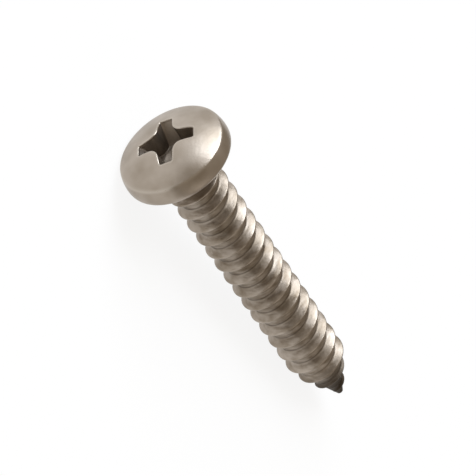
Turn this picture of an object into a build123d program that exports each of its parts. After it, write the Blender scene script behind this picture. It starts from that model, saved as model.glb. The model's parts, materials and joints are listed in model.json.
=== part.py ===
import os
from math import asin, atan2, ceil, cos, degrees, hypot, pi, radians, sin, sqrt, tan

from build123d import *

# A pan head tapping screw, in millimetres and degrees. It is drawn upright on its own axis, with the
# bearing face of the head at height zero and the point below, and is laid on its side at the end.

# Thread: one right-hand ridge with straight flanks and a sharp crest, wound round a core
screw_length = 25.0  # bearing face to the tip
thread_diameter = 4.2
core_diameter = 3.1
thread_pitch = 1.4
flank_angle = 30.0  # between each flank and a plane square to the axis
thread_phase = 118.0  # angle of the crest where it would meet the bearing face
spans_per_turn = 11  # curves that make up each turn of an edge
nudge_share = 0.01  # of a span, the step over which an edge's direction is measured

# Point: the core runs out to a cone, and the ridge winds down it almost to the tip
point_angle = 45.0
tip_diameter = 0.4
bare_tip_length = 0.3
tip_cone_share = 0.93  # of the core's cone, so that the bare tip seats inside it
crest_taper_length = 3.9
crest_tip_radius = 0.4

# Run-out: below the head the ridge sinks into a short plain neck
neck_diameter = 3.5
neck_length = 0.6
neck_shoulder = 0.4
runout_start = 1.75
runout_end = 0.55

# Pan head: a low dome over a bowed rim
head_diameter = 8.0
head_height = 2.6
dome_radius = 7.5
crease_diameter = 7.72  # edge between the dome and the rim
rim_height = 0.65  # widest level of the rim
bearing_diameter = 7.3
under_bevel = 0.3

# Cross recess: four wings that narrow outwards and have sloping ends, with rounded metal between them
recess_span = 4.1  # over opposite wings, where they break the dome
recess_depth = 1.9
recess_turn = -21.0
wing_end_width = 0.9  # where the wings break the dome
wing_taper = 7.0  # between each side of a wing and its middle
wing_end_angle = 26.5
land_corner_radius = 0.75
pit_diameter = 1.8
pit_floor_diameter = 0.4
pit_depth = 0.4
cut_overrun = 0.5

# At rest the screw lies on its side, rolled so far about its own axis
rest_roll = 50.0

core_radius = core_diameter / 2
crest_radius = thread_diameter / 2
neck_radius = neck_diameter / 2
head_radius = head_diameter / 2
crease_radius = crease_diameter / 2
bearing_radius = bearing_diameter / 2
span = 1 / spans_per_turn


def core_at(z):
    """Radius of the core at height z: a cone from the tip, then a cylinder."""
    return min(core_radius, tip_diameter / 2 + (screw_length + z) * tan(radians(point_angle / 2)))


def crest_at(z):
    """Radius of the crest: low at the tip, full on the shank, and sinking to the core below the head."""
    rise_share = (screw_length + z) / crest_taper_length
    crest = min(crest_radius, crest_tip_radius + (crest_radius - crest_tip_radius) * rise_share)
    fade_share = min(1, max(0, (-z - runout_end) / (runout_start - runout_end)))
    return core_at(z) + (crest - core_at(z)) * fade_share


def flank_reach(z):
    """Distance along the axis from the crest to the root on either side of it."""
    return (crest_at(z) - core_at(z)) * tan(radians(flank_angle))


def ridge_point(corner, turn):
    """Corner of the ridge's section after so many turns from its end near the tip."""
    z = ridge_end + thread_pitch * turn
    angle = radians(thread_phase) + 2 * pi * z / thread_pitch
    radius = crest_at(z)
    if corner != "crest":
        z += flank_reach(z) if corner == "upper_root" else -flank_reach(z)
        radius = core_at(z)
    return Vector(radius * cos(angle), radius * sin(angle), z)


def ridge_edge(corner, turn):
    """Curve of a corner through one span of a turn, which leaves both ends along the helix."""
    start, end = ridge_point(corner, turn), ridge_point(corner, turn + span)
    handle_share = 4 / 3 * tan(pi * span / 2) / (2 * pi * span)
    nudge = span * nudge_share
    start_handle, end_handle = [
        (ridge_point(corner, t + nudge) - ridge_point(corner, t - nudge)) * (handle_share / (2 * nudge_share))
        for t in (turn, turn + span)
    ]
    return Edge.make_bezier(start, start + start_handle, end - end_handle, end)


def axis_lines(low, high):
    """A line up the axis, in as many pieces as a turn has spans."""
    heights = [low + (high - low) * span * i for i in range(spans_per_turn + 1)]
    return [Edge.make_line((0, 0, a), (0, 0, b)) for a, b in zip(heights, heights[1:])]


# The ridge starts just above the tip and ends inside the head
ridge_end = bare_tip_length - screw_length
ridge_end += flank_reach(ridge_end)
span_count = ceil(-ridge_end / (thread_pitch * span)) + 1
turns = span_count * span
corners = ("lower_root", "crest", "upper_root")
edges = {corner: [ridge_edge(corner, span * i) for i in range(span_count)] for corner in corners}

# Two flanks on each span, the root between one turn and the next, and a face below the first turn
# and above the last
tip_start, tip_end = ridge_point("lower_root", 0), ridge_point("lower_root", 1)
top_start, top_end = ridge_point("upper_root", turns - 1), ridge_point("upper_root", turns)
strips = [
    (edges["lower_root"], edges["crest"]),
    (edges["crest"], edges["upper_root"]),
    (edges["upper_root"], edges["lower_root"][spans_per_turn:]),
    (axis_lines(tip_start.Z, tip_end.Z), edges["lower_root"]),
    (axis_lines(top_start.Z, top_end.Z), edges["upper_root"][-spans_per_turn:]),
]
thread_faces = [Face.make_surface_from_curves(a, b) for low, high in strips for a, b in zip(low, high)]

# A flat face closes each end of the ridge
tip_section = [ridge_point(corner, 0) for corner in corners]
top_section = [ridge_point(corner, turns) for corner in corners]
tip_chain = [Vector(0, 0, tip_start.Z), *tip_section, tip_end, Vector(0, 0, tip_end.Z)]
top_chain = [Vector(0, 0, top_start.Z), top_start, *top_section, Vector(0, 0, top_end.Z)]
thread_faces += [Face(Wire.make_polygon(chain, close=True)) for chain in (tip_chain, top_chain)]
thread = Solid(Shell(thread_faces))

dome_centre = head_height - dome_radius
crease_height = dome_centre + sqrt(dome_radius**2 - crease_radius**2)
mouth_height = dome_centre + sqrt(dome_radius**2 - (recess_span / 2) ** 2)
floor_height = head_height - recess_depth
recess_top = head_height + cut_overrun
wing_slope = tan(radians(wing_end_angle))
wing_top_reach = recess_span / 2 + (recess_top - mouth_height) * wing_slope
wing_floor_reach = recess_span / 2 - (mouth_height - floor_height) * wing_slope
side_slope = tan(radians(wing_taper))
wing_middle_half = wing_end_width / 2 + recess_span / 2 * side_slope
wing_top_half = wing_middle_half - wing_top_reach * side_slope
wing_corners = [
    (wing_top_reach, wing_top_half),
    (0, wing_middle_half),
    (-wing_top_reach, wing_top_half),
    (-wing_top_reach, -wing_top_half),
    (0, -wing_middle_half),
    (wing_top_reach, -wing_top_half),
]

# Two crossed bars, widest in the middle, trimmed by a cone that gives the wings their sloping ends
with BuildPart() as recess:
    with BuildSketch(Plane.XY.offset(floor_height)) as cross:
        for turn in (recess_turn, recess_turn + 90):
            Polygon(wing_corners, rotation=turn, align=None)
        land_corners = cross.vertices().sort_by(SortBy.DISTANCE)[:4]
        fillet(land_corners, land_corner_radius)
    extrude(amount=recess_top - floor_height)
    with BuildSketch(Plane.XZ):
        with BuildLine():
            Polyline(
                (0, floor_height),
                (wing_floor_reach, floor_height),
                (wing_top_reach, recess_top),
                (0, recess_top),
                close=True,
            )
        make_face()
    revolve(axis=Axis.Z, mode=Mode.INTERSECT)
    with BuildSketch(Plane.XZ):
        with BuildLine():
            Polyline(
                (0, floor_height),
                (pit_diameter / 2, floor_height),
                (pit_floor_diameter / 2, floor_height - pit_depth),
                (0, floor_height - pit_depth),
                close=True,
            )
        make_face()
    revolve(axis=Axis.Z)

with BuildPart() as screw:
    with BuildSketch(Plane.XZ):
        with BuildLine():
            dome = RadiusArc((0, head_height), (crease_radius, crease_height), dome_radius)
            rim = TangentArc((head_radius, rim_height), dome @ 1, tangent=(0, 1))
            under_rim = TangentArc(
                rim @ 0, (bearing_radius + under_bevel, under_bevel), tangent=(0, -1)
            )
            Polyline(
                under_rim @ 1,
                (bearing_radius, 0),
                (neck_radius + neck_shoulder, 0),
                (neck_radius, -neck_shoulder),
                (neck_radius, -neck_length),
                (0, -neck_length - neck_radius),
                dome @ 0,
            )
        make_face()
    with BuildSketch(Plane.XZ):
        tip_top = tip_end.Z + thread_pitch / 2
        with BuildLine():
            Polyline(
                (0, -screw_length),
                (core_at(-screw_length) * tip_cone_share, -screw_length),
                (core_at(tip_top) * tip_cone_share, tip_top),
                (0, tip_top),
                close=True,
            )
        make_face()
    revolve(axis=Axis.Z)
    add(thread)
    add(recess.part, mode=Mode.SUBTRACT)


def rest_tilt_on(crest):
    """Tilt of the axis at which a floor touches both the underside of the rim and one crest."""
    rim_centre_radius = head_radius - under_rim.radius
    across = rim_centre_radius - hypot(crest.X, crest.Y)
    along = rim_height - crest.Z
    return atan2(across, along) + asin(under_rim.radius / hypot(across, along))


# The floor meets the crest once a turn, and the screw rests on the crest that it reaches first
floor_turn = ((rest_roll + 180 - thread_phase) / 360 - ridge_end / thread_pitch) % 1
floor_crests = [ridge_point("crest", floor_turn + i) for i in range(int(turns))]
tilt = min(rest_tilt_on(crest) for crest in floor_crests)
roll = radians(rest_roll)
lying = Plane(
    origin=(0, 0, 0),
    x_dir=(cos(roll) * sin(tilt), -sin(roll), cos(roll) * cos(tilt)),
    z_dir=(-cos(tilt), 0, sin(tilt)),
)
box = screw.part.moved(lying.location).bounding_box()

# Origin on the floor, under the middle of the lying screw, with the head towards -X
with BuildPart() as laid:
    with Locations((-box.center().X, -box.center().Y, -box.min.Z)):
        add(screw.part.moved(lying.location))
laid.part.label = "screw"

os.makedirs("parts", exist_ok=True)
export_step(laid.part, "parts/screw.step")
print(f"tilt {degrees(tilt):.2f} degrees, volume {laid.part.volume:.1f} mm3, box {box.size}")
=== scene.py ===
import json
import bpy
import numpy as np
from mathutils import Matrix, Quaternion, Vector


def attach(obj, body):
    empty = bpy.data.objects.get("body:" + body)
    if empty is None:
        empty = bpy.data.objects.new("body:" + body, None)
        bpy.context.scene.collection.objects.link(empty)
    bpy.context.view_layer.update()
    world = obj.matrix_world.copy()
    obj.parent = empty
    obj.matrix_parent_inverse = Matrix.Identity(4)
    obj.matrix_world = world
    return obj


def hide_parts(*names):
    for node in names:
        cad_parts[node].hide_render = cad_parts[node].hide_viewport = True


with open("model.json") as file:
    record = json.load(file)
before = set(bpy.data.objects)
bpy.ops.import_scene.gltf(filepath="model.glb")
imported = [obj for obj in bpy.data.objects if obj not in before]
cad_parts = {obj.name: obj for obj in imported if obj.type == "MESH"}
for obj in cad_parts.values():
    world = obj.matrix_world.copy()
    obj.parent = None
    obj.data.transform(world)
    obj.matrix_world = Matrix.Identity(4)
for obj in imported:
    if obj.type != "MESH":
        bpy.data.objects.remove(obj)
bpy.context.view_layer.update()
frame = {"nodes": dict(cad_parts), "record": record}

mm = 0.001
print("frame loaded:", ", ".join(frame["nodes"]))

# thread and point, in millimetres and degrees
thread = {
    "length": 25.0,
    "pitch": 1.4,
    "crestRadius": 2.1,
    "coreRadius": 1.55,
    "flankAngle": 30.0,
    "phase": 118.0,  # angle of the crest where it would meet the bearing face
    "crestFlat": 0.07,
    "crestRounding": 0.02,
    "rootRounding": 0.05,
    "rootRoundingShare": 0.3,  # most that the rounding is of a low ridge's height
    "pointAngle": 45.0,
    "tipRadius": 0.2,
    "crestTaper": 3.9,  # height above the tip at which the crest has its full radius
    "crestTipRadius": 0.4,  # radius that the line of the crest has level with the tip
    "taperRounding": 0.03,
    "bareTip": 0.3,  # height above the tip at which the ridge starts
    "firstTurnFade": 1.0,  # height that it takes to grow in
    "runoutStart": 1.75,  # depth below the bearing face at which the ridge begins to sink
    "runoutEnd": 0.55,  # depth at which it is gone
    "neckRadius": 1.75,
    "neckChamfer": (0.8, 0.6),  # depth below the bearing face of the chamfer's two ends
    "neckRing": 0.5,  # depth at which the head takes over
    "tipRing": 0.1,  # height above the tip at which the end cap takes over
    "tipCapShares": (0.92, 0.75, 0.45),  # rows over the blunt end, of its radius
    "crestShine": 0.3,  # how worn the crest is
    "crestWear": 0.06,  # half width of the band that tumbling polishes
    "rootShade": 0.32,  # painted shade in the roots
    "rootLineShade": 0.8,  # painted shade: how dark the line at each flank's foot is
    "rootLine": (0.45, 0.08),  # that line's distance from the crest and half width
    "tipShade": 0.96,  # how dark the point is: partly painted dark reflection, partly scale
    "tipShadeEnds": (1.5, 5.2),  # heights above the tip between which that fades
    "stepsPerTurn": 144,
    "offsets": (0.0, 0.025, 0.045, 0.07, 0.11, 0.17, 0.23, 0.28, 0.32, 0.36, 0.42, 0.47, 0.52, 0.6, 0.7),
}

# pan head, in millimetres
head = {
    "radius": 4.0,
    "height": 2.6,
    "domeRadius": 7.5,
    "creaseRadius": 3.86,
    "creaseRounding": 0.09,
    "creaseWear": 0.12,  # half width of the worn band
    "creaseWearAndSheen": 0.9,  # how worn it is; the lighter band is partly a painted highlight along the crease
    "rimHeight": 0.65,  # of the widest place
    "rimRadius": 2.8384,  # bow of the rim above it
    "underRimRadius": 1.25,  # bow of the rim below it
    "underHeight": 0.3,  # where that bow meets the bevel
    "bearingRadius": 3.65,
    "underShade": 0.5,  # painted shade under the head, how dark it is at the neck
    "shoulder": 0.4,  # fillet between neck and bearing face
    "cornerRounding": 0.08,
    "domeRows": 16,
    "filletRows": 7,
    "bearingRows": 6,
    "cornerRows": 5,
    "underRows": 6,
    "rimRows": 12,
    "creaseRows": 7,
    "creaseGap": 0.02,  # least step from the rim's last row to the crease's first
}

# cross recess, in millimetres and degrees
recess = {
    "halfSpan": 2.05,
    "endHalfWidth": 0.45,
    "taper": 7.0,  # between each side of a wing and its middle
    "depth": 1.9,
    "turn": -21.0,
    "endAngle": 26.5,  # slope of the wing ends
    "landRadius": 0.75,
    "endCornerRadius": 0.12,
    "lipRounding": 0.09,
    "floorRounding": 0.05,
    "pitRadius": 0.9,
    "pitDepth": 0.4,
    "lipRows": 6,
    "wallRows": 9,
    "floorFilletRows": 3,
    "floorShares": (0.5, 0.9, 1.0),  # rows from the walls in to the pit
    "pitShares": (0.95, 0.5, 0.1),  # rows down the pit's cone, of its radius
    "floorShade": 0.72,  # painted shade on the recess floor
    "wallShade": 0.28,  # painted shade on the walls just under the lip
    # wing end, its corner, the wing's side, half the land: an eighth of stepsPerTurn in all
    "halfQuarterColumns": (3, 4, 6, 5),
}
tiny = 1e-6  # keeps sums clear of a division by zero
columns = thread["stepsPerTurn"]
columnAngles = 2 * np.pi * np.arange(columns) / columns


def smoothStep(x):
    # 3 x squared less 2 x cubed, held at 0 and 1 outside that range
    x = np.clip(x, 0, 1)
    return x * x * (3 - 2 * x)


def softMax(a, b, blend):
    # the larger of two values, with the corner between them rounded over about the blend length
    return (a + b + np.sqrt((a - b) ** 2 + 4 * blend**2)) / 2


def softMin(a, b, blend):
    # the smaller of two values, rounded in the same way
    return -softMax(-a, -b, blend)


def bump(x, middle, halfWidth):
    # bell curve: one at the middle, with e to the minus one at the half width
    return np.exp(-(((x - middle) / halfWidth) ** 2))


def domeHeight(r):
    # height of the dome's sphere at a distance from the axis
    return head["height"] - head["domeRadius"] + np.sqrt(head["domeRadius"] ** 2 - r**2)


# how the screw lies: it is shaped upright, with +Z out of the head and the bearing face at height zero.
# The recess mount gives the axis and the point on it at the mouth of the recess
lay = {"roll": 50.0}
mouthMount = next(m for m in frame["record"]["mounts"] if m["name"] == "driver_recess")
roll = np.radians(lay["roll"])
ownZ = np.array(mouthMount["axis"]) / np.linalg.norm(mouthMount["axis"])
sideways = np.array([0.0, -1.0, 0.0])
ownX = np.cos(roll) * np.cross(ownZ, sideways) + np.sin(roll) * sideways
ownAxes = np.stack([ownX, np.cross(ownZ, ownX), ownZ])
bearingCentre = np.array(mouthMount["pos_m"]) / mm - domeHeight(recess["halfSpan"]) * ownZ
print("bearing face at", bearingCentre.round(3), "mm")


def toWorld(points):
    # own millimetres to the frame's metres: turn by the three axes, then move to the bearing centre
    return (points @ ownAxes + bearingCentre) * mm


def coreRadiusAt(z):
    # a cone up from the tip, then a cylinder, then a short chamfer out to the neck
    cone = thread["tipRadius"] + (z + thread["length"]) * np.tan(np.radians(thread["pointAngle"] / 2))
    low, high = thread["neckChamfer"]
    neckShare = smoothStep((z + low) / (low - high))
    core = softMin(cone, thread["coreRadius"], thread["taperRounding"])
    return core + (thread["neckRadius"] - thread["coreRadius"]) * neckShare


def ridgeHeightAt(zCrest):
    # crest radius less core radius: grows up the point, is full on the shank, sinks away below the head
    rise = zCrest + thread["length"]
    slope = (thread["crestRadius"] - thread["crestTipRadius"]) / thread["crestTaper"]
    taper = thread["crestTipRadius"] + slope * rise
    crest = softMin(taper, thread["crestRadius"], thread["taperRounding"])
    full = crest - coreRadiusAt(np.minimum(zCrest, -thread["neckChamfer"][0]))
    start = smoothStep((rise - thread["bareTip"]) / thread["firstTurnFade"])
    runoutLength = thread["runoutStart"] - thread["runoutEnd"]
    runout = np.clip((-zCrest - thread["runoutEnd"]) / runoutLength, 0, 1)
    return np.maximum(full, 0) * start * runout


def threadGrid():
    # strip wound up the core: one parameter is the step along the helix, the other the offset across the
    # pitch from the crest. Radius = core + soft maximum of zero and (ridge height less the flank's fall)
    half = np.array(thread["offsets"])
    offsets = np.concatenate([-half[:0:-1], half])
    zLow, zHigh = -thread["length"] + thread["tipRing"], -thread["neckRing"]
    startTurn = thread["phase"] / 360 + (zLow - thread["pitch"]) / thread["pitch"]
    endTurn = thread["phase"] / 360 + (zHigh + thread["pitch"]) / thread["pitch"]
    steps = np.arange(int(np.floor(startTurn * columns)), int(np.ceil(endTurn * columns)) + 1)
    zCrest = thread["pitch"] * (steps / columns - thread["phase"] / 360)
    z = zCrest[:, None] + offsets[None, :]
    fall = np.maximum(np.abs(offsets) - thread["crestFlat"] / 2, 0)
    rounding = thread["crestRounding"]
    fall = (np.sqrt(fall**2 + rounding**2) - rounding) / np.tan(np.radians(thread["flankAngle"]))
    height = ridgeHeightAt(zCrest)[:, None]
    blend = np.minimum(thread["rootRounding"], height * thread["rootRoundingShare"] + tiny)
    ridge = softMax(height - fall[None, :], 0.0, blend) - blend**2 / np.maximum(height, blend)
    radius = coreRadiusAt(np.clip(z, zLow, zHigh)) + np.maximum(ridge, 0)
    fullHeight = thread["crestRadius"] - thread["coreRadius"]
    fullness = smoothStep(height / fullHeight)
    # painted shade: darker down into the roots, and a dark line at each flank's foot
    paintedShadeAndScale = smoothStep((height - ridge) / fullHeight) * thread["rootShade"]
    rootLine = bump(np.abs(offsets), *thread["rootLine"]) * fullness * thread["rootLineShade"]
    paintedShadeAndScale = np.maximum(paintedShadeAndScale, rootLine)
    # the point darkens: partly painted dark reflection, partly scale
    darkTo, clearFrom = thread["tipShadeEnds"]
    nearTip = smoothStep((clearFrom - z - thread["length"]) / (clearFrom - darkTo))
    paintedShadeAndScale = np.maximum(paintedShadeAndScale, nearTip * thread["tipShade"])
    wornAndSheen = bump(offsets, 0.0, thread["crestWear"]) * fullness * thread["crestShine"]
    angle = 2 * np.pi * steps / columns
    points = np.stack([radius * np.cos(angle)[:, None], radius * np.sin(angle)[:, None], z], 2)
    return steps, z, zLow, zHigh, points, paintedShadeAndScale, wornAndSheen


def unit(step):
    # a step of length one in the same direction
    return step / np.linalg.norm(step)


def bezierCorner(before, corner, after, count):
    # rounded corner: a quadratic curve that leaves along one side and arrives along the other
    t = np.linspace(0, 1, count)[:, None]
    return (1 - t) ** 2 * np.array(before) + 2 * t * (1 - t) * np.array(corner) + t**2 * np.array(after)


def arcPoints(centre, radius, fromDegrees, toDegrees, count):
    # points at even angles on a circle
    a = np.radians(np.linspace(fromDegrees, toDegrees, count))
    return np.stack([centre[0] + radius * np.cos(a), centre[1] + radius * np.sin(a)], 1)


def ring(radius, z):
    # circle at one height, with a point for each column
    x, y = radius * np.cos(columnAngles), radius * np.sin(columnAngles)
    return np.column_stack([x, y, np.full(columns, z)])


def headProfile():
    # turned outline from the neck out under the head, round the rim and up to the crease, as (radius, z)
    creaseHeight = domeHeight(head["creaseRadius"])
    rimCentre = (head["radius"] - head["rimRadius"], head["rimHeight"])
    underCentre = (head["radius"] - head["underRimRadius"], head["rimHeight"])
    underAngle = np.degrees(np.arcsin((head["underHeight"] - head["rimHeight"]) / head["underRimRadius"]))
    creaseAngle = np.degrees(np.arcsin((creaseHeight - head["rimHeight"]) / head["rimRadius"]))
    neck, shoulder, rounding = thread["neckRadius"], head["shoulder"], head["cornerRounding"]
    fillet = arcPoints((neck + shoulder, -shoulder), shoulder, 180, 90, head["filletRows"])
    under = arcPoints(underCentre, head["underRimRadius"], underAngle, 0, head["underRows"])
    rim = arcPoints(rimCentre, head["rimRadius"], 0, creaseAngle, head["rimRows"])
    bevelFoot, bevelTop = np.array([head["bearingRadius"], 0.0]), under[0]
    bevel = unit(bevelTop - bevelFoot) * rounding
    footCorner = bezierCorner(bevelFoot - (rounding, 0), bevelFoot, bevelFoot + bevel, head["cornerRows"])
    alongUnder = unit(under[1] - under[0]) * rounding
    topCorner = bezierCorner(bevelTop - bevel, bevelTop, bevelTop + alongUnder, head["cornerRows"])
    crease = rim[-1]
    creaseStart = crease - unit(rim[-1] - rim[-2]) * head["creaseRounding"]
    domeEdge = head["creaseRadius"] - head["creaseRounding"]
    creaseEnd = (domeEdge, domeHeight(domeEdge))
    creaseCorner = bezierCorner(creaseStart, crease, creaseEnd, head["creaseRows"])
    bearing = np.linspace(fillet[-1], footCorner[0], head["bearingRows"])[1:-1]
    rimPart = rim[rim[:, 1] < creaseStart[1] - head["creaseGap"]]
    underHead = [fillet, bearing, footCorner, topCorner[:-1], under[2:]]
    return np.concatenate([*underHead, rimPart[1:], creaseCorner])


def recessOutline(span, out):
    # cross outline at one depth, moved outwards by a length: half a wing end, its corner arc, the wing's
    # side, which leans by the taper, and half the arc round the land, then that mirrored, four times
    lean = np.radians(recess["taper"])
    acrossSide = np.array([np.sin(lean), np.cos(lean)])
    sideDistance = acrossSide @ (recess["halfSpan"], recess["endHalfWidth"])
    landCentre = (sideDistance + recess["landRadius"]) / acrossSide.sum()
    landRadius = recess["landRadius"] - out
    endArc = min(recess["endCornerRadius"], span - landCentre + acrossSide[0] * recess["landRadius"])
    cornerX = span - endArc
    cornerY = (sideDistance - endArc - acrossSide[0] * cornerX) / acrossSide[1]
    endCount, cornerCount, sideCount, landCount = recess["halfQuarterColumns"]
    end = np.linspace((span + out, 0), (span + out, cornerY), endCount, endpoint=False)
    corner = arcPoints((cornerX, cornerY), endArc + out, 0, 90 - recess["taper"], cornerCount + 1)[:-1]
    sideStart = (cornerX, cornerY) + acrossSide * (endArc + out)
    side = np.linspace(sideStart, landCentre - acrossSide * landRadius, sideCount, endpoint=False)
    land = arcPoints((landCentre, landCentre), landRadius, 270 - recess["taper"], 225, landCount + 1)
    half = np.concatenate([end, corner, side, land])
    x, y = np.concatenate([half, half[-2:0:-1, ::-1]]).T
    turn = np.radians(recess["turn"] + 90 * np.arange(4)[:, None])
    points = np.stack([x * np.cos(turn) - y * np.sin(turn), x * np.sin(turn) + y * np.cos(turn)], 2)
    turnedColumns = int(round(recess["turn"] / 360 * columns))
    return np.roll(points.reshape(-1, 2), turnedColumns, axis=0)  # first column near angle zero


def recessRings():
    # from the crease's inner edge: dome rows slide from a circle to the cross, a quarter-round lip turns
    # down, the walls go straight down with sloping wing ends, then a small fillet, the floor and the pit.
    # A ring is its points, its share of painted shade and how worn it is
    lip, floorRound = recess["lipRounding"], recess["floorRounding"]
    mouth = domeHeight(recess["halfSpan"])
    floor = head["height"] - recess["depth"]
    slope = np.tan(np.radians(recess["endAngle"]))
    circle = ring(head["creaseRadius"] - head["creaseRounding"], 0)[:, :2]
    edge = recessOutline(recess["halfSpan"], lip)
    rings = []
    for share in np.linspace(0, 1, head["domeRows"] + 1)[1:-1]:
        flat = circle + (edge - circle) * share
        rings.append((np.column_stack([flat, domeHeight(np.hypot(*flat.T))]), 0.0, 0.0))
    for angle in np.radians(np.linspace(0, 90, recess["lipRows"])):
        flat = recessOutline(recess["halfSpan"], lip * (1 - np.sin(angle)))
        drop = lip * (1 - np.cos(angle))
        rings.append((np.column_stack([flat, domeHeight(np.hypot(*flat.T)) - drop]), 0.0, np.cos(angle)))
    top = rings[-1][0][:, 2]
    drop = mouth - lip - floor
    for share in np.linspace(0, 1, recess["wallRows"] + 1)[1:]:
        flat = recessOutline(recess["halfSpan"] - (drop - floorRound) * share * slope, 0.0)
        # painted shade, darker with depth from under the lip down to the floor
        shade = recess["wallShade"] + (recess["floorShade"] - recess["wallShade"]) * share
        rings.append((np.column_stack([flat, top + (floor + floorRound - top) * share]), shade, 0.0))
    deepSpan = recess["halfSpan"] - drop * slope
    for angle in np.radians(np.linspace(0, 90, recess["floorFilletRows"] + 1)[1:]):
        flat = recessOutline(deepSpan, -floorRound * (1 - np.cos(angle)))
        z = floor + floorRound * (1 - np.sin(angle))
        rings.append((np.column_stack([flat, np.full(columns, z)]), recess["floorShade"], 0.0))
    floorEdge = rings[-1][0][:, :2]
    pitEdge = floorEdge / np.hypot(*floorEdge.T)[:, None] * recess["pitRadius"]
    for share in recess["floorShares"]:
        flat = floorEdge + (pitEdge - floorEdge) * share
        rings.append((np.column_stack([flat, np.full(columns, floor)]), recess["floorShade"], 0.0))
    for share in recess["pitShares"]:
        z = floor - recess["pitDepth"] * (1 - share)
        rings.append((np.column_stack([pitEdge * share, np.full(columns, z)]), recess["floorShade"], 0.0))
    return rings


def bridge(lower, upper):
    # quads between two rows of vertex numbers that go once round, as triangles
    a, b = lower, np.roll(lower, -1)
    c, d = np.roll(upper, -1), upper
    return np.concatenate([np.stack([a, b, c], 1), np.stack([a, c, d], 1)])


def makeScrew():
    # one closed mesh: the thread's strip between a ring at the tip and a ring at the neck, then rings up
    # over the head and down into the recess. Each vertex also holds its painted shade (with scale at the
    # point) and how worn it is, which on the crease is partly a painted highlight
    steps, z, zLow, zHigh, points, paintedShadeAndScale, wornAndSheen = threadGrid()
    count = z.size
    number = np.arange(count).reshape(z.shape)
    number[:-columns, -1] = number[columns:, 0]  # the top of one turn is the foot of the next
    # the ring at the point takes the point's darkening (partly painted dark reflection, partly scale),
    # the neck ring the painted shade under the head
    rings = [(ring(coreRadiusAt(zLow), zLow), thread["tipShade"], 0.0)]
    rings.append((ring(thread["neckRadius"], zHigh), head["underShade"], 0.0))
    tipRing, neckRing = count + np.arange(columns), count + columns + np.arange(columns)
    number = np.where(z <= zLow, tipRing[steps % columns][:, None], number)
    number = np.where(z >= zHigh, neckRing[steps % columns][:, None], number)
    a, b, c, d = number[:-1, :-1], number[1:, :-1], number[1:, 1:], number[:-1, 1:]
    faces = [np.stack(t, 2).reshape(-1, 3) for t in ((a, b, c), (a, c, d))]

    creaseHeight = domeHeight(head["creaseRadius"])
    bearingWidth = head["bearingRadius"] - thread["neckRadius"]
    for r, height in headProfile():
        # painted shade under the head, darkest at the neck
        shade = np.clip((head["bearingRadius"] - r) / bearingWidth, 0, 1) * head["underShade"]
        # the worn band along the crease is lighter, partly as a painted highlight
        fromCrease = np.hypot(r - head["creaseRadius"], height - creaseHeight)
        shine = head["creaseWearAndSheen"] * bump(fromCrease, 0.0, head["creaseWear"])
        rings.append((ring(r, height), shade * (height <= 0), shine))
    rings += recessRings()
    lastHead = len(rings) - 1
    capHeights = thread["tipRing"] * np.sqrt(1 - np.array(thread["tipCapShares"]) ** 2)
    # rows over the blunt end, darkened like the point: partly painted dark reflection, partly scale
    for share, height in zip(thread["tipCapShares"], capHeights):
        rings.append((ring(coreRadiusAt(zLow) * share, zLow - height), thread["tipShade"], 0.0))
    rows = count + np.arange(len(rings) * columns).reshape(len(rings), columns)
    faces += [bridge(rows[i], rows[i + 1]) for i in range(1, lastHead)]
    capRows = [rows[0], *rows[lastHead + 1 :]]
    faces += [bridge(lower, upper) for upper, lower in zip(capRows, capRows[1:])]
    pitFloor = head["height"] - recess["depth"] - recess["pitDepth"]
    poles = np.array([[0, 0, pitFloor], [0, 0, -thread["length"]]])
    topPole = count + len(rings) * columns
    faces.append(np.stack([rows[lastHead], np.roll(rows[lastHead], -1), np.full(columns, topPole)], 1))
    faces.append(np.stack([np.roll(rows[-1], -1), rows[-1], np.full(columns, topPole + 1)], 1))

    points = np.concatenate([points.reshape(-1, 3), *[r[0] for r in rings], poles])
    # painted shade at the middle of the pit, and the point's darkening at its end
    polePaintedShadeAndScale = [recess["floorShade"], thread["tipShade"]]
    paintedShadeAndScale = np.concatenate([paintedShadeAndScale.ravel(), *[np.full(columns, r[1]) for r in rings], polePaintedShadeAndScale])
    wornAndSheen = np.concatenate([wornAndSheen.ravel(), *[np.full(columns, r[2]) for r in rings], [0.0, 0.0]])
    faces = np.concatenate(faces)
    whole = (faces[:, 0] != faces[:, 1]) & (faces[:, 1] != faces[:, 2]) & (faces[:, 0] != faces[:, 2])
    used, faces = np.unique(faces[whole], return_inverse=True)
    faces = faces.reshape(-1, 3)

    mesh = bpy.data.meshes.new("screwBody")
    mesh.from_pydata(toWorld(points[used]).tolist(), [], faces.tolist())
    mesh.polygons.foreach_set("use_smooth", np.ones(len(faces), bool))
    for name, values in (("paintedShadeAndScale", paintedShadeAndScale[used]), ("wornAndSheen", wornAndSheen[used])):
        mesh.attributes.new(name, "FLOAT", "POINT").data.foreach_set("value", values)
    mesh.update()
    return mesh


screwMesh = makeScrew()
screw = bpy.data.objects.new("tappingScrew", screwMesh)
bpy.context.scene.collection.objects.link(screw)
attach(screw, "root")
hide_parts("screw")
print("screw:", len(screwMesh.polygons), "triangles")


def addNode(tree, kind, inputs=None, settings=None):
    # adds a node with its settings; an input is linked to another node's output or set to a value
    node = tree.nodes.new(kind)
    for name, value in (settings or {}).items():
        setattr(node, name, value)
    for name, value in (inputs or {}).items():
        if isinstance(value, bpy.types.NodeSocket):
            tree.links.new(value, node.inputs[name])
        else:
            node.inputs[name].default_value = value
    return node


def linearColour(hexColour):
    # sRGB hex to linear light, with an alpha of one
    s = np.array([int(hexColour[i : i + 2], 16) / 255 for i in (1, 3, 5)])
    linear = np.where(s <= 0.04045, s / 12.92, ((s + 0.055) / 1.055) ** 2.4)
    return (*linear.tolist(), 1.0)
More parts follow.
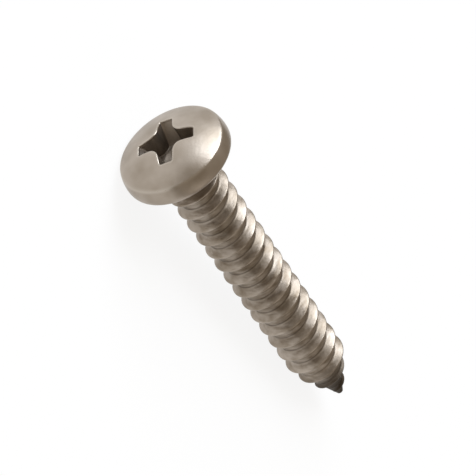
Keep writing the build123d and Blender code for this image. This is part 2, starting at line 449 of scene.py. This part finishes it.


# austenitic stainless steel, cold formed and then tumbled: a satin warm grey, with painted shade in the
# roots, under the head and in the recess, which are also duller where tumbling doesn't reach, a point
# darkened partly by painted dark reflection and partly by scale, and brighter and smoother along crests
# and edges, where the crease is lighter partly as a painted highlight.
# Sizes in millimetres; the real grain is about 0.03 mm, and it is drawn coarser so that it shows
steel = {
    "colour": "#b5aa9e",
    "blotchColour": "#9b8f81",
    "streakColour": "#796b5a",
    # painted shade, and scale at the point
    "paintedShadeAndScaleColour": "#32281c",
    # worn edges, lighter, and a painted highlight along the crease
    "wornAndSheenColour": "#c0b7ab",
    "blotchLevels": (0.3, 0.7),  # noise levels between which the blotches set in
    "streakLevels": (0.4, 0.65),
    "streakShare": 0.7,  # share of their colour at the upper level, and more above it
    "paintedShadeAndScaleShare": 0.95,
    "paintedShadeAndScalePower": 2.0,  # keeps the painted shade to the bottom of the hollows
    "wornAndSheenShare": 0.6,
    "roughness": (0.31, 0.41),  # smoothest and dullest grain
    "threadRoughness": 0.01,  # added on the thread, which the rolls leave a little duller than the head
    "paintedShadeAndScaleRoughness": 0.25,
    "wornAndSheenRoughness": -0.08,
    "grainSize": 0.17,
    "grainHeight": 0.005,
    "dentSize": 0.7,
    "dentHeight": 0.012,
    "blotchSize": 2.0,
    "streakSize": (1.1, 1.1, 0.24),  # marks of the thread rolls, long round the screw and short along it
    "streakHeight": 0.05,
    "streakEnds": (-0.3, -1.0),  # heights, below the bearing face, between which they set in
    "noiseDetail": 2.0,
    "streakDetail": 3.0,
}

stainless = bpy.data.materials.new("tumbledStainlessSteel")
stainless.use_nodes = True
steelNodes = stainless.node_tree
shader = steelNodes.nodes["Principled BSDF"]
shader.inputs["Metallic"].default_value = 1.0

# own millimetres: the object's metres scaled, turned and centred on the screw's axis
ownMapping = {
    "Vector": addNode(steelNodes, "ShaderNodeTexCoord").outputs["Object"],
    "Scale": (1 / mm,) * 3,
    "Rotation": Matrix(ownAxes.tolist()).to_euler(),
    "Location": (-ownAxes @ bearingCentre).tolist(),
}
ownPlace = addNode(steelNodes, "ShaderNodeMapping", ownMapping).outputs["Vector"]
noise = {}
for name in ("grain", "dent", "blotch"):
    look = {"Vector": ownPlace, "Scale": 1 / steel[name + "Size"], "Detail": steel["noiseDetail"]}
    noise[name] = addNode(steelNodes, "ShaderNodeTexNoise", look).outputs["Fac"]
streakMapping = {"Vector": ownPlace, "Scale": [1 / size for size in steel["streakSize"]]}
streakPlace = addNode(steelNodes, "ShaderNodeMapping", streakMapping).outputs["Vector"]
streakLook = {"Vector": streakPlace, "Scale": 1.0, "Detail": steel["streakDetail"]}
streak = addNode(steelNodes, "ShaderNodeTexNoise", streakLook).outputs["Fac"]
axial = addNode(steelNodes, "ShaderNodeSeparateXYZ", {0: ownPlace}).outputs["Z"]
setIn = {"Value": axial, "From Min": steel["streakEnds"][0], "From Max": steel["streakEnds"][1]}
onThread = addNode(steelNodes, "ShaderNodeMapRange", setIn).outputs["Result"]
# the mesh's painted shade, with scale at the point, and its wear, with a painted highlight along the
# crease
paintedShadeAndScale = addNode(steelNodes, "ShaderNodeAttribute", settings={"attribute_name": "paintedShadeAndScale"}).outputs["Fac"]
wornAndSheen = addNode(steelNodes, "ShaderNodeAttribute", settings={"attribute_name": "wornAndSheen"}).outputs["Fac"]
times, timesPlus = {"operation": "MULTIPLY"}, {"operation": "MULTIPLY_ADD"}

# shares of the colours: blotches and roll marks set in between two levels of their noise
low, high = steel["blotchLevels"]
blotchRange = {"Value": noise["blotch"], "From Min": low, "From Max": high}
blotchShare = addNode(steelNodes, "ShaderNodeMapRange", blotchRange).outputs["Result"]
low, high = steel["streakLevels"]
streakRange = {"Value": streak, "From Min": low, "From Max": high, "To Max": steel["streakShare"]}
streakShare = addNode(steelNodes, "ShaderNodeMapRange", streakRange, {"clamp": False}).outputs["Result"]
streakShare = addNode(steelNodes, "ShaderNodeMath", {0: streakShare, 1: onThread}, times).outputs[0]
deep = {0: paintedShadeAndScale, 1: steel["paintedShadeAndScalePower"]}
deepShadeAndScale = addNode(steelNodes, "ShaderNodeMath", deep, {"operation": "POWER"}).outputs[0]
darkened = {0: deepShadeAndScale, 1: steel["paintedShadeAndScaleShare"]}
paintedShadeAndScaleShare = addNode(steelNodes, "ShaderNodeMath", darkened, times).outputs[0]
wornAndSheenShare = addNode(steelNodes, "ShaderNodeMath", {0: wornAndSheen, 1: steel["wornAndSheenShare"]}, times).outputs[0]

# colour: two close greys in blotches, then darker roll marks, the painted shade with scale at the point,
# then the worn edges with the crease's painted highlight
shares = {"blotch": blotchShare, "streak": streakShare, "paintedShadeAndScale": paintedShadeAndScaleShare, "wornAndSheen": wornAndSheenShare}
colour = linearColour(steel["colour"])
for name, share in shares.items():
    over = linearColour(steel[name + "Colour"])
    layer = {0: share, 6: colour, 7: over}  # the sockets of the factor and the two colours
    colour = addNode(steelNodes, "ShaderNodeMix", layer, {"data_type": "RGBA"}).outputs[2]
steelNodes.links.new(colour, shader.inputs["Base Color"])

# roughness: follows the grain, up on the thread and in the hollows and down on the worn edges
smooth, dull = steel["roughness"]
grainRange = {"Value": noise["grain"], "To Min": smooth, "To Max": dull}
roughness = addNode(steelNodes, "ShaderNodeMapRange", grainRange).outputs["Result"]
for name, place in {"thread": onThread, "paintedShadeAndScale": paintedShadeAndScale, "wornAndSheen": wornAndSheen}.items():
    added = {0: place, 1: steel[name + "Roughness"], 2: roughness}
    roughness = addNode(steelNodes, "ShaderNodeMath", added, timesPlus).outputs[0]
steelNodes.links.new(roughness, shader.inputs["Roughness"])

# relief: shallow tumbling dents with the grain on top of them, and the roll marks on the thread
marks = addNode(steelNodes, "ShaderNodeMath", {0: streak, 1: onThread}, times).outputs[0]
height = 0.0
for name, pattern in {"dent": noise["dent"], "grain": noise["grain"], "streak": marks}.items():
    raised = {0: pattern, 1: steel[name + "Height"], 2: height}
    height = addNode(steelNodes, "ShaderNodeMath", raised, timesPlus).outputs[0]
relief = addNode(steelNodes, "ShaderNodeBump", {"Height": height, "Distance": mm}).outputs["Normal"]
steelNodes.links.new(relief, shader.inputs["Normal"])
screwMesh.materials.append(stainless)
print("material:", stainless.name)


# camera at the photograph's angle: so far off the screw's axis, turned about it, and with a long lens.
# Degrees, own millimetres and pixels
view = {
    "axisAngle": 50.44,
    "turn": 2.19,
    "distance": 350.4,
    "aimAt": (0.0, 0.0, -11.0),
    "aimPixel": (252.87, 266.22),
    "pointSlope": 55.05,  # direction from head to point in the picture, down from the right
    "focalPixels": 5082.5,
    "picture": 476,
    "sensorWidth": 36.0,
    "clip": (0.01, 50.0),  # metres
}

off, turn, slope = (np.radians(view[k]) for k in ("axisAngle", "turn", "pointSlope"))
side = np.array([-np.sin(turn), np.cos(turn), 0])
towards = np.array([np.sin(off) * np.cos(turn), np.sin(off) * np.sin(turn), np.cos(off)])
headward = np.cross(towards, side)
right = side * np.sin(slope) - headward * np.cos(slope)
upward = side * np.cos(slope) + headward * np.sin(slope)
place = np.array(view["aimAt"]) + towards * view["distance"]
middle = view["picture"] / 2
offX, offY = middle - np.array(view["aimPixel"])
aim = right * offX - upward * offY - towards * view["focalPixels"]
back = -aim / np.linalg.norm(aim)
across = np.cross(upward, back)
across /= np.linalg.norm(across)
axes = np.stack([across, np.cross(back, across), back]) @ ownAxes
cameraData = bpy.data.cameras.new("camera")
cameraData.sensor_width = view["sensorWidth"]
cameraData.lens = view["focalPixels"] / view["picture"] * view["sensorWidth"]
cameraData.clip_start, cameraData.clip_end = view["clip"]
camera = bpy.data.objects.new("camera", cameraData)
camera.matrix_world = Matrix.Translation(Vector(toWorld(place))) @ Matrix(axes.T.tolist()).to_4x4()
bpy.context.scene.collection.objects.link(camera)
bpy.context.scene.camera = camera
print("camera at", [round(x, 3) for x in camera.location])


# white sheet under the screw in a dim room: metres, sRGB and plain strengths
studio = {
    "floorSize": 6.0,
    "floorColour": "#686868",
    "floorGlow": 0.87,  # makes the lit sheet white, and leaves the shadow on it
    "roomColour": "#fff1de",
    "roomLow": 0.28,  # strength at the horizon
    "roomHigh": 0.42,  # strength overhead
    "roomRise": 0.35,  # height on the unit sphere from which it is that
}

corner = studio["floorSize"] / 2
floorMesh = bpy.data.meshes.new("floor")
floorCorners = [(-corner, -corner, 0), (corner, -corner, 0), (corner, corner, 0), (-corner, corner, 0)]
floorMesh.from_pydata(floorCorners, [], [(0, 1, 2, 3)])
floor = bpy.data.objects.new("floor", floorMesh)
bpy.context.scene.collection.objects.link(floor)
paper = bpy.data.materials.new("whitePaper")
paper.use_nodes = True
paperNodes = paper.node_tree
paperNodes.nodes.clear()

# the camera sees the white, and so do rays that metal or glass sends on, but it lights nothing else
rays = addNode(paperNodes, "ShaderNodeLightPath").outputs
seen = 0.0
for kind in ("Is Camera Ray", "Is Glossy Ray", "Is Transmission Ray"):
    either = {0: rays[kind], 1: seen}
    seen = addNode(paperNodes, "ShaderNodeMath", either, {"operation": "MAXIMUM"}).outputs[0]
white = addNode(paperNodes, "ShaderNodeMath", {0: seen, 1: studio["floorGlow"]}, times).outputs[0]
glow = addNode(paperNodes, "ShaderNodeEmission", {"Strength": white}).outputs[0]
own = {"Color": linearColour(studio["floorColour"])}
matt = addNode(paperNodes, "ShaderNodeBsdfDiffuse", own).outputs[0]
sheet = addNode(paperNodes, "ShaderNodeAddShader", {0: matt, 1: glow}).outputs[0]
addNode(paperNodes, "ShaderNodeOutputMaterial", {"Surface": sheet})
floorMesh.materials.append(paper)

world = bpy.data.worlds.new("studio")
bpy.context.scene.world = world
world.use_nodes = True
room = world.node_tree
room.nodes.clear()
direction = addNode(room, "ShaderNodeTexCoord").outputs["Generated"]
up = addNode(room, "ShaderNodeSeparateXYZ", {0: direction}).outputs["Z"]
levels = {
    "Value": up,
    "From Max": studio["roomRise"],
    "To Min": studio["roomLow"],
    "To Max": studio["roomHigh"],
}
level = addNode(room, "ShaderNodeMapRange", levels).outputs["Result"]
walls = {"Color": linearColour(studio["roomColour"]), "Strength": level}
sky = addNode(room, "ShaderNodeBackground", walls).outputs[0]
addNode(room, "ShaderNodeOutputWorld", {"Surface": sky})

# soft boxes, a large cool one and a weak one from the other side: azimuth from +X, elevation and lean to
# the side in degrees, distance and size in metres, and the radiance of the box's face
softBoxes = {
    "keyBox": {
        "azimuth": 137.0,
        "elevation": 38.0,
        "distance": 1.5,
        "size": (1.15, 1.85),
        "lean": 10.0,
        "radiance": 4.6,
        "colour": "#ebf4ff",
    },
    "fillBox": {
        "azimuth": -38.0,
        "elevation": 28.0,
        "distance": 1.5,
        "size": (0.9, 0.6),
        "lean": 0.0,
        "radiance": 0.5,
        "colour": "#ffffff",
    },
}
for name, box in softBoxes.items():
    lampData = bpy.data.lights.new(name, "AREA")
    lampData.shape = "RECTANGLE"
    lampData.size, lampData.size_y = box["size"]
    lampData.energy = box["radiance"] * np.pi * box["size"][0] * box["size"][1]
    lampData.color = linearColour(box["colour"])[:3]
    lamp = bpy.data.objects.new(name, lampData)
    azimuth, elevation = np.radians((box["azimuth"], box["elevation"]))
    flat = np.cos(elevation)
    direction = Vector((flat * np.cos(azimuth), flat * np.sin(azimuth), np.sin(elevation)))
    lamp.location = direction * box["distance"]
    lamp.rotation_mode = "QUATERNION"
    leaning = Quaternion((0, 0, 1), np.radians(box["lean"]))
    lamp.rotation_quaternion = direction.to_track_quat("Z", "Y") @ leaning
    bpy.context.scene.collection.objects.link(lamp)
bpy.context.scene.view_settings.view_transform = "Standard"
print("studio: floor, room and", len(softBoxes), "soft boxes")
